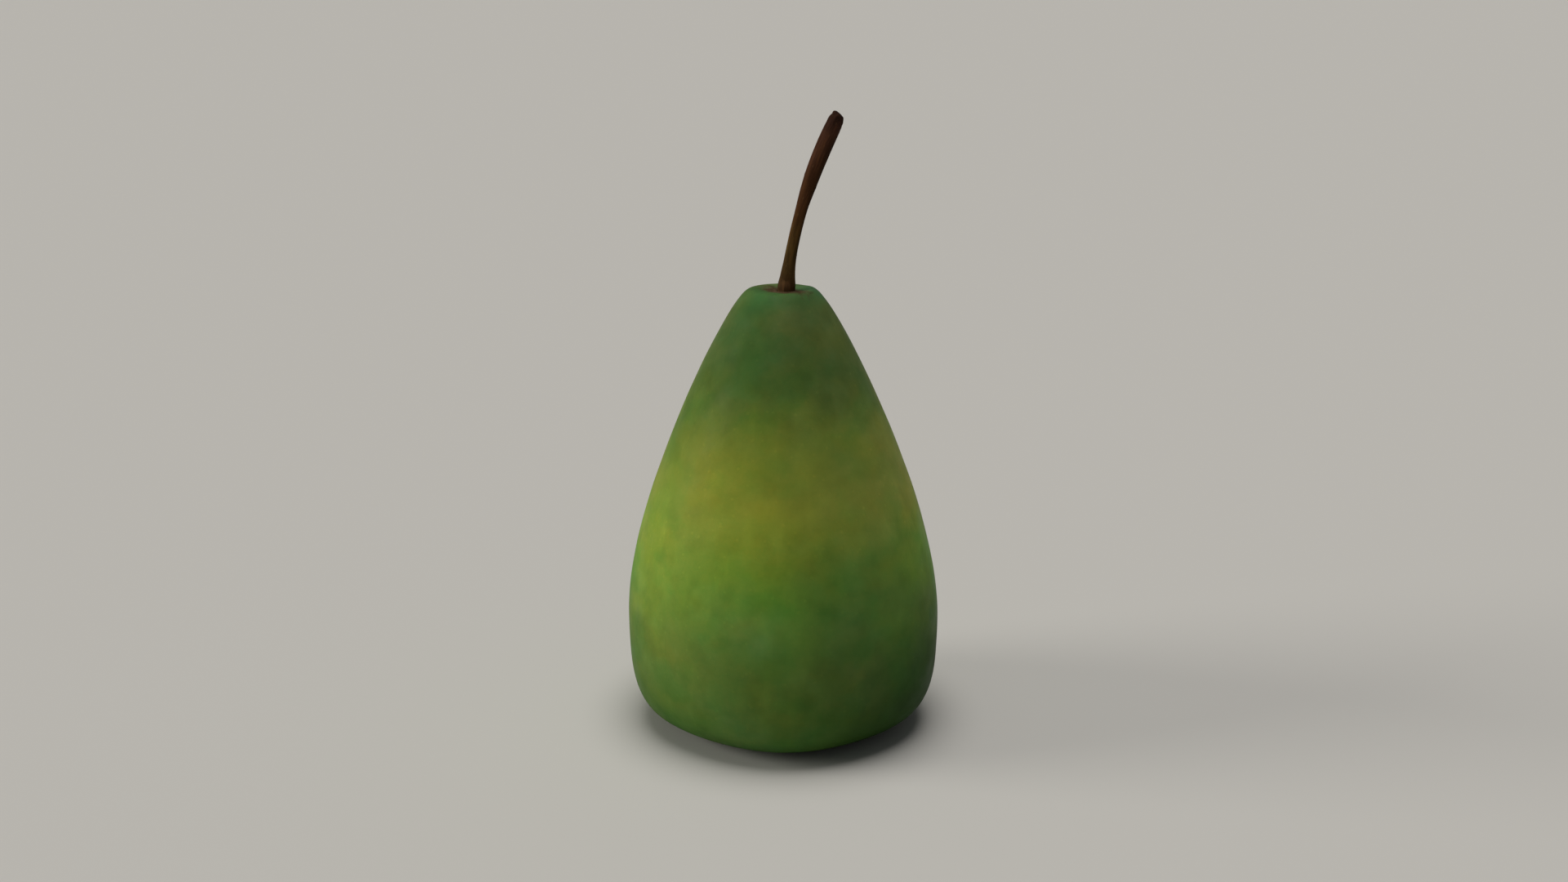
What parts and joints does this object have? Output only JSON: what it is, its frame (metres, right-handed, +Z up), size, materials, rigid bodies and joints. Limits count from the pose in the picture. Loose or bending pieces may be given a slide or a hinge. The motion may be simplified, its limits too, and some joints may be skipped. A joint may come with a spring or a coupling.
{
  "type": "pear",
  "caption": "Whole green pear with a broad boxy base, a tapering neck, a long bent woody stem and a dried calyx underneath.",
  "frame": {"origin": "in the plane that the pear stands on, under the middle of its widest outline", "axes": "+Z up along the core towards the stem; +X towards the side that the stem bends to; -Y is the front"},
  "size_m": [0.066, 0.066, 0.1285],
  "materials": {
    "skin": "satin waxy fruit skin, mottled green and yellow-green",
    "bark": "dull brown bark, darker at the tip",
    "dry_calyx": "dull dried brown sepals"
  },
  "bodies": {
    "root": {"fruit": "skin", "stem": "bark", "calyx": "dry_calyx"}
  },
  "joints": []
}
